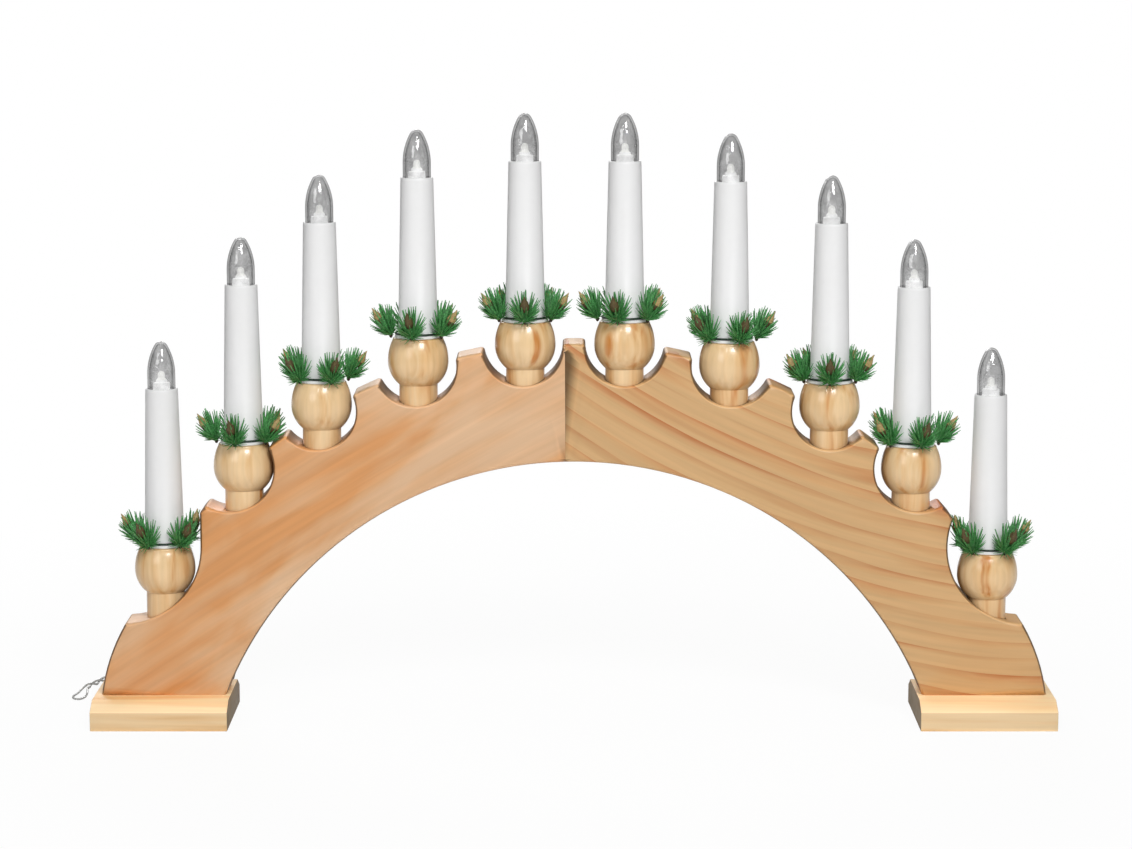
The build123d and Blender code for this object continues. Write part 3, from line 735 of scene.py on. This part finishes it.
cup = {
    "ballRadius": 12.55,
    "lowerSteps": 12,
    "upperSteps": 8,
    "neckRadius": 7.95,
    "neckBottom": -21.0,
    "rimRadius": 10.45,
    "rimHeight": 9.8,
    "rimRound": 0.8,
    "rimTurns": (15, 30, 45, 60, 75, 90),
    "boreRadius": 8.3,
    "boreDepth": 8.0,
    "boreEase": 0.15,
    "steps": 64,
}
rimTop = cup["rimHeight"]
roundTop = []
for turn in map(math.radians, cup["rimTurns"]):
    across = cup["rimRadius"] - cup["rimRound"] * (1 - math.cos(turn))
    roundTop.append((across, rimTop - cup["rimRound"] * (1 - math.sin(turn))))
ballSide = (cup["ballRadius"], 0)
neckTop = (cup["neckRadius"], -math.sqrt(cup["ballRadius"] ** 2 - cup["neckRadius"] ** 2))
rimSide = (cup["rimRadius"], rimTop - cup["rimRound"])
cupProfile = [
    (0, cup["neckBottom"]),
    (cup["neckRadius"], cup["neckBottom"]),
    neckTop,
    *tangentArc(ballSide, neckTop, cup["lowerSteps"])[-2::-1],
    ballSide,
    *tangentArc(ballSide, rimSide, cup["upperSteps"]),
    *roundTop,
    (cup["boreRadius"] + cup["boreEase"], rimTop),
    (cup["boreRadius"], rimTop - cup["boreEase"]),
    (cup["boreRadius"], rimTop - cup["boreDepth"]),
    (0, rimTop - cup["boreDepth"]),
]
cups = placedCopies(spun(cupProfile, cup["steps"]), cupPlaces)
addPiece("turnedCups", cups, [cupPine], "arch_frame", ["candle_cups"])

sleeve = {
    "baseRadius": 8.25,
    "topRadius": 6.75,
    "base": 1.8,
    "rise": 66.0,
    "wall": 0.95,
    "flangeRadius": 9.6,
    "flangeHeight": 1.4,
    "flangeEase": 0.2,
    "flangeGap": 0.02,
    "rootInset": 0.06,
    "rootHeight": 0.3,
    "lipHeight": 1.2,
    "lipInset": (0.08, 0.3),
    "lipEase": 0.25,
    "boreEase": 0.1,
    "steps": 56,
}
sleeveTop = rimTop + sleeve["rise"]
flangeBase = rimTop + sleeve["flangeGap"]
flangeTop = rimTop + sleeve["flangeHeight"]
flangeSide = sleeve["flangeRadius"] - sleeve["flangeEase"]
boreRadius = sleeve["topRadius"] - sleeve["wall"]
sleeveProfile = [
    (sleeve["baseRadius"], sleeve["base"]),
    (sleeve["baseRadius"], flangeBase),
    (flangeSide, flangeBase),
    (sleeve["flangeRadius"], rimTop + sleeve["flangeEase"]),
    (flangeSide, flangeTop - sleeve["flangeEase"]),
    (sleeve["baseRadius"] + sleeve["flangeEase"], flangeTop),
    (sleeve["baseRadius"] - sleeve["rootInset"], flangeTop + sleeve["rootHeight"]),
    (sleeve["topRadius"], sleeveTop - sleeve["lipHeight"]),
    (sleeve["topRadius"] - sleeve["lipInset"][0], sleeveTop - sleeve["lipEase"]),
    (sleeve["topRadius"] - sleeve["lipInset"][1], sleeveTop),
    (boreRadius + sleeve["boreEase"], sleeveTop),
    (boreRadius, sleeveTop - sleeve["boreEase"]),
    (boreRadius, sleeve["base"]),
]
sleeves = placedCopies(spun(sleeveProfile, sleeve["steps"], closed=True), cupPlaces)
addPiece(
    "whiteSleeves", sleeves, [paints["sleeveWhite"]], "arch_frame",
    ["candle_sleeves"],
)

cap = {
    "radius": 5.75,
    "wall": 0.8,
    "seat": 1.0,
    "straight": 6.0,
    "height": 19.5,
    "tipRadius": 3.0,
    "sideSteps": 9,
    "tipSteps": 8,
    "steps": 40,
}


def bulletProfile(radius, tip, rise, knee):
    # an arc that leaves the side upright and runs into the smaller arc of the tip
    side = (radius ** 2 + rise ** 2 - 2 * rise * tip) / (2 * (radius - tip))
    lean = math.atan2(rise - tip, side - radius)
    points = []
    for step in range(cap["sideSteps"] + 1):
        turn = lean * step / cap["sideSteps"]
        points.append((radius - side + side * math.cos(turn), knee + side * math.sin(turn)))
    for step in range(1, cap["tipSteps"]):
        turn = lean + (math.pi / 2 - lean) * step / cap["tipSteps"]
        points.append((tip * math.cos(turn), knee + rise - tip + tip * math.sin(turn)))
    points.append((0, knee + rise))
    return points


capBase = sleeveTop - cap["seat"]
capKnee = sleeveTop + cap["straight"]
capRise = cap["height"] - cap["straight"]
capInside = cap["radius"] - cap["wall"]
outside = bulletProfile(cap["radius"], cap["tipRadius"], capRise, capKnee)
inside = bulletProfile(capInside, cap["tipRadius"] - cap["wall"], capRise - cap["wall"], capKnee)
capProfile = [(cap["radius"], capBase), *outside, *inside[::-1], (capInside, capBase)]
caps = placedCopies(spun(capProfile, cap["steps"], closed=True), cupPlaces)
addPiece("clearCaps", caps, [clearCap], "arch_frame", ["bulb_caps"])

holder = {
    "flange": 1.0,
    "flangeInset": 0.1,
    "flangeGap": 0.02,
    "coneBase": 3.6,
    "coneTop": 2.3,
    "coneHeight": 4.6,
    "coneInset": (0.15, 0.35),
    "coneEase": 0.15,
    "postHeight": 1.2,
    "postEase": 0.2,
    "steps": 32,
}
lampBase = capBase + holder["coneHeight"]
seatSide = cap["radius"] - holder["flangeInset"]
seatTop = capBase - holder["flangeGap"]
coneEnd = lampBase - holder["postHeight"]
holderProfile = [
    (0, capBase - holder["flange"]),
    (seatSide, capBase - holder["flange"]),
    (seatSide, seatTop),
    (holder["coneBase"], seatTop),
    (holder["coneBase"] - holder["coneInset"][0], coneEnd - holder["coneEase"]),
    (holder["coneBase"] - holder["coneInset"][1], coneEnd),
    (holder["coneTop"], coneEnd),
    (holder["coneTop"], lampBase - holder["postEase"]),
    (holder["coneTop"] - holder["postEase"], lampBase),
    (0, lampBase),
]
holders = placedCopies(spun(holderProfile, holder["steps"]), cupPlaces)
addPiece(
    "lampHolders", holders, [paints["glowingHolderWhite"]], "arch_frame", ["led_holders"]
)

smallLamp = {
    "footRadius": 1.8,
    "footHeight": 0.5,
    "radius": 1.45,
    "sideBase": 0.6,
    "domeBase": 2.2,
    "domeHeight": 1.4,
    "domeTurns": (20, 40, 60, 80),
    "steps": 24,
}
domeBase = lampBase + smallLamp["domeBase"]
dome = []
for turn in map(math.radians, smallLamp["domeTurns"]):
    across = smallLamp["radius"] * math.cos(turn)
    dome.append((across, domeBase + smallLamp["domeHeight"] * math.sin(turn)))
lampProfile = [
    (0, lampBase),
    (smallLamp["footRadius"], lampBase),
    (smallLamp["footRadius"], lampBase + smallLamp["footHeight"]),
    (smallLamp["radius"], lampBase + smallLamp["sideBase"]),
    (smallLamp["radius"], domeBase),
    *dome,
    (0, domeBase + smallLamp["domeHeight"]),
]
ledLamps = placedCopies(spun(lampProfile, smallLamp["steps"]), cupPlaces)
addPiece(
    "smallLamps", ledLamps, [paints["lampClear"]], "arch_frame", ["led_lamps"]
)

print("evergreen rings")
ring = {
    "radius": 9.3,
    "wire": 0.42,
    "wireSides": 8,
    "steps": 48,
    "height": 11.65,
    "firstSprigs": (-120, -103, -65, -101, -90, -106, -70, -94, -74, -131),
    "sprigs": 5,
    "sprigRadius": 11.2,
    "sprigHeight": 11.5,
    "frontFrom": -0.6,
    "frontDroop": 3.4,
    "otherDroop": 0.8,
    "fanTilt": 20,
    "fanHeight": 13.0,
    "fanSpread": 0.75,
    # each row: its lean from the sprig's own axis in degrees, and its count of needles
    "rows": ((10, 6), (24, 12), (38, 17), (51, 20), (63, 20), (75, 18), (87, 16), (103, 9)),
    "stepWander": (0.3, 0.7),
    "leanWander": (-5, 5),
    "reachWander": (0.92, 1.03),
    "shortest": 5.0,
    "rootReach": 0.4,
    "needleLength": 9.0,
    "needleBase": 0.42,
    "needleMiddle": 0.85,
    "needleTip": 0.14,
    "needleBend": 9,
    "sleeveReach": 9.0,
    "wallReach": 15.4,
    "heartRise": 1.8,
    "heartRadius": 2.2,
    "heartStretch": (1, 1, 1.2, 1),
    "knobRadius": 11.2,
    "knobHeight": 10.9,
    "knobSize": 1.0,
    "knobStretch": (0.8, 0.8, 1.3, 1),
}
bud = {
    "tilt": 34,
    "wallTilt": 12,
    "wallFrom": 0.7,
    "start": 4.6,
    "outward": 0.6,
    "profile": (
        (0, 0), (1.3, 0.5), (1.9, 1.7), (2.0, 3.0), (1.7, 4.4), (1.15, 5.6), (0.55, 6.8),
        (0.25, 7.9), (0, 8.4),
    ),
    "steps": 9,
    "paleFrom": 3,
}


def needleShape():
    # one straight three-sided needle that bends over in its upper half
    shape = bmesh.new()
    half = ring["needleLength"] / 2 * mm
    bmesh.ops.create_cone(
        shape,
        cap_ends=True,
        segments=3,
        radius1=ring["needleBase"] * mm,
        radius2=ring["needleBase"] * ring["needleMiddle"] * mm,
        depth=half,
        matrix=Matrix.Translation((0, 0, half / 2)),
    )
    nearTop = half * 0.9
    top = [face for face in shape.faces if all(vert.co.z > nearTop for vert in face.verts)]
    raised = bmesh.ops.extrude_face_region(shape, geom=top)
    upper = [item for item in raised["geom"] if isinstance(item, bmesh.types.BMVert)]
    bmesh.ops.delete(shape, geom=top, context="FACES_ONLY")
    shrink = ring["needleTip"] / ring["needleBase"]
    bend = math.radians(-ring["needleBend"])
    bmesh.ops.scale(shape, verts=upper, vec=(shrink, shrink, 1))
    over = (math.sin(bend) * half, 0, math.cos(bend) * half)
    bmesh.ops.translate(shape, verts=upper, vec=over)
    mesh = bpy.data.meshes.new("oneNeedle")
    shape.to_mesh(mesh)
    shape.free()
    return mesh


def budShape(paleTip):
    shape = spun(bud["profile"], bud["steps"])
    for face in shape.faces:
        high = face.calc_center_median().z > bud["paleFrom"] * mm
        face.material_index = 1 if paleTip and high else 0
    mesh = bpy.data.meshes.new("oneBud")
    shape.to_mesh(mesh)
    shape.free()
    return mesh


def addTurned(whole, mesh, matrix):
    count = len(whole.verts)
    whole.from_mesh(mesh)
    whole.verts.ensure_lookup_table()
    bmesh.ops.transform(whole, matrix=matrix, verts=whole.verts[count:])


def basis(across, side, along, origin, share=1.0):
    # turns a piece to three directions, sizes it by a share and puts it at the origin given
    turned = Matrix((across, side, along)).transposed().to_4x4()
    return Matrix.Translation(origin) @ turned @ Matrix.Scale(share, 4)


oneNeedle = needleShape()
brownBud = budShape(False)
paleBud = budShape(True)
for number, place in enumerate(cupPlaces):
    label = str(number + 1).zfill(2)
    body = "ring_" + label
    besideWall = number in (0, len(cupPlaces) - 1)
    wallSide = Vector((1, 0, 0)) if place.x < 0 else Vector((-1, 0, 0))
    loop = bmesh.new()
    wirePlace = Matrix.Translation((ring["radius"] * mm, 0, ring["height"] * mm))
    bmesh.ops.create_circle(
        loop,
        cap_ends=False,
        segments=ring["wireSides"],
        radius=ring["wire"] * mm,
        matrix=wirePlace @ Matrix.Rotation(math.pi / 2, 4, "X"),
    )
    bmesh.ops.spin(
        loop,
        geom=loop.verts[:] + loop.edges[:],
        cent=(0, 0, 0),
        axis=(0, 0, 1),
        angle=math.tau,
        steps=ring["steps"],
        use_merge=True,
    )
    bmesh.ops.remove_doubles(loop, verts=loop.verts, dist=weldDistance)
    bmesh.ops.recalc_face_normals(loop, faces=loop.faces)
    needles = bmesh.new()
    buds = bmesh.new()
    stems = bmesh.new()
    for sprig in range(ring["sprigs"]):
        turn = math.radians(ring["firstSprigs"][number] + sprig * 360 / ring["sprigs"])
        outward = Vector((math.cos(turn), math.sin(turn), 0))
        side = Vector((-outward.y, outward.x, 0))
        tilt = math.radians(ring["fanTilt"])
        along = outward * math.sin(tilt) + Vector((0, 0, math.cos(tilt)))
        front = outward * math.cos(tilt) - Vector((0, 0, math.sin(tilt)))
        core = outward * ring["sprigRadius"] * mm + Vector((0, 0, ring["sprigHeight"] * mm))
        inFront = outward.y < ring["frontFrom"]
        droop = ring["frontDroop"] if inFront else ring["otherDroop"]
        for lean, count in ring["rows"]:
            for step in range(count):
                swing = math.tau * (step + random.uniform(*ring["stepWander"])) / count
                polar = math.radians(lean + random.uniform(*ring["leanWander"]))
                around = front * math.cos(swing) + side * math.sin(swing)
                needle = along * math.cos(polar) + around * math.sin(polar)
                inward = along * math.sin(polar) - around * math.cos(polar)
                spread = max(0, math.cos(polar)) ** ring["fanSpread"]
                reach = max(ring["shortest"], ring["fanHeight"] * spread)
                reach *= random.uniform(*ring["reachWander"])
                tip = core + needle * reach * mm
                if math.hypot(tip.x, tip.y) < ring["sleeveReach"] * mm:
                    continue
                if tip.z < core.z - droop * mm:
                    continue
                if besideWall and tip.dot(wallSide) > ring["wallReach"] * mm:
                    continue
                root = core + needle * ring["rootReach"] * mm
                share = reach / ring["needleLength"]
                turned = basis(-inward, needle.cross(-inward), needle, root, share)
                addTurned(needles, oneNeedle, turned)
        beforeWall = besideWall and outward.dot(wallSide) > bud["wallFrom"]
        budTilt = math.radians(bud["wallTilt"] if beforeWall else bud["tilt"])
        budAlong = outward * math.sin(budTilt) + Vector((0, 0, math.cos(budTilt)))
        budOrigin = core + budAlong * bud["start"] * mm + outward * bud["outward"] * mm
        turned = basis(side.cross(budAlong), side, budAlong, budOrigin)
        addTurned(buds, brownBud if inFront else paleBud, turned)
        heartPlace = Matrix.Translation(core + along * ring["heartRise"] * mm)
        bmesh.ops.create_icosphere(
            needles,
            subdivisions=2,
            radius=ring["heartRadius"] * mm,
            matrix=heartPlace @ Matrix.Diagonal(ring["heartStretch"]),
        )
        knobPlace = outward * ring["knobRadius"] * mm + Vector((0, 0, ring["knobHeight"] * mm))
        bmesh.ops.create_icosphere(
            stems,
            subdivisions=2,
            radius=ring["knobSize"] * mm,
            matrix=Matrix.Translation(knobPlace) @ Matrix.Diagonal(ring["knobStretch"]),
        )
    for shape in (loop, needles, buds, stems):
        bmesh.ops.translate(shape, verts=shape.verts, vec=place)
    wreath = ["wreath_" + label]
    budPaints = [paints["budBrown"], paints["budTip"]]
    addPiece("ringWire_" + label, loop, [paints["ringGreen"]], body, wreath)
    addPiece("needles_" + label, needles, [paints["needleGreen"]], body, sharp=30)
    addPiece("buds_" + label, buds, budPaints, body)
    addPiece("stems_" + label, stems, [paints["stemBrown"]], body)

print("battery box")
for node, paint, body, slot, width in (
    ("battery_case", "boxWhite", "arch_frame", "box_plastic", 0.35),
    ("battery_cover", "boxWhite", "cover", "box_plastic", 0.15),
    ("switch_slider", "switchBlack", "switch", "switch_plastic", 0.3),
):
    shape = softenEdges(cadCopy(node), width)
    addPiece(node.replace("_", "") + "Shell", shape, [paints[paint]], body, [node])
for node, paint, slot in (
    ("battery_cells", "cellGrey", "cell_jacket"),
    ("contact_plates", "contactNickel", "contact_metal"),
    ("contact_leaves", "contactNickel", "contact_metal"),
):
    name = node.replace("_", "") + "Piece"
    addPiece(name, cadCopy(node), [paints[paint]], "arch_frame", [node])

print("lead")
lead = {
    "diameter": 0.9,
    "glandX": -144.302,
    "glandFace": 10.6,
    "glandHeight": 20.0,
    "boxX": -171.65,
    "boxBack": 112.0,
    "entryHeight": 3.2,
    "twistRadius": 1.0,
    "twistTurns": 2,
    "twistPoints": 4,
    "twistStart": (-202.6, 70.0),
    "twistEnd": (-212.6, 45.0),
    "roundness": 4,
    "stepsBetween": 6,
}
low = lead["diameter"] / 2
# out of the gland, down to the floor behind the foot, back and forward again to the twist
leadStart = [
    (lead["glandX"], lead["glandFace"], lead["glandHeight"]),
    (lead["glandX"], 2 * lead["glandFace"], lead["glandHeight"]),
    (-145.5, 30.0, 12.0),
    (-149.5, 33.5, low),
    (-162.0, 32.5, low),
    (-177.0, 32.5, low),
    (-190.0, 36.0, low),
    (-195.0, 48.0, low),
    (-194.0, 63.0, low),
    (-194.2, 78.0, low),
    (-194.3, 89.5, low),
    (-200.8, 89.5, low),
    (-201.0, 79.0, low),
]
# the open loop beside the foot
leadLoop = [
    (-210.8, 38.5, low),
    (-210.6, 33.0, low),
    (-211.4, 29.0, low),
    (-213.3, 27.6, low),
    (-215.4, 29.0, low),
    (-216.3, 33.0, low),
    (-214.8, 38.5, low),
]
# back from the twist and into the battery box
leadEnd = [
    (-204.2, 80.0, low),
    (-203.5, 93.0, low),
    (-200.0, 106.0, low),
    (-192.0, 117.0, low),
    (-181.0, 122.5, low),
    (lead["boxX"], 122.5, lead["entryHeight"]),
    (lead["boxX"], lead["boxBack"], lead["entryHeight"]),
]


def twistedStrand(firstTurn):
    # one of the two strands of the twist, from its start to its end
    start = Vector((*lead["twistStart"], low + lead["twistRadius"]))
    along = Vector((*lead["twistEnd"], low + lead["twistRadius"])) - start
    across = Vector((0, 0, 1)).cross(along).normalized()
    count = lead["twistTurns"] * lead["twistPoints"]
    points = []
    for step in range(count + 1):
        turn = math.tau * (firstTurn + step / lead["twistPoints"])
        middle = start + along * (step / count)
        offset = across * (lead["twistRadius"] * math.cos(turn))
        rise = Vector((0, 0, lead["twistRadius"] * math.sin(turn)))
        points.append(tuple(middle + offset + rise))
    return points


leadPoints = leadStart + twistedStrand(0) + leadLoop + twistedStrand(0.5)[::-1] + leadEnd
leadCurve = bpy.data.curves.new("clearLead", "CURVE")
leadCurve.dimensions = "3D"
leadCurve.bevel_depth = lead["diameter"] / 2 * mm
leadCurve.bevel_resolution = lead["roundness"]
leadCurve.resolution_u = lead["stepsBetween"]
leadCurve.use_fill_caps = True
spline = leadCurve.splines.new("NURBS")
spline.points.add(len(leadPoints) - 1)
for point, place in zip(spline.points, leadPoints):
    point.co = (place[0] * mm, place[1] * mm, place[2] * mm, 1)
spline.order_u = 3
spline.use_endpoint_u = True
leadCurve.materials.append(paints["clearVinyl"])
clearLead = bpy.data.objects.new("clearLead", leadCurve)
bpy.context.collection.objects.link(clearLead)
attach(clearLead, "arch_frame")
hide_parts("lead_wire")
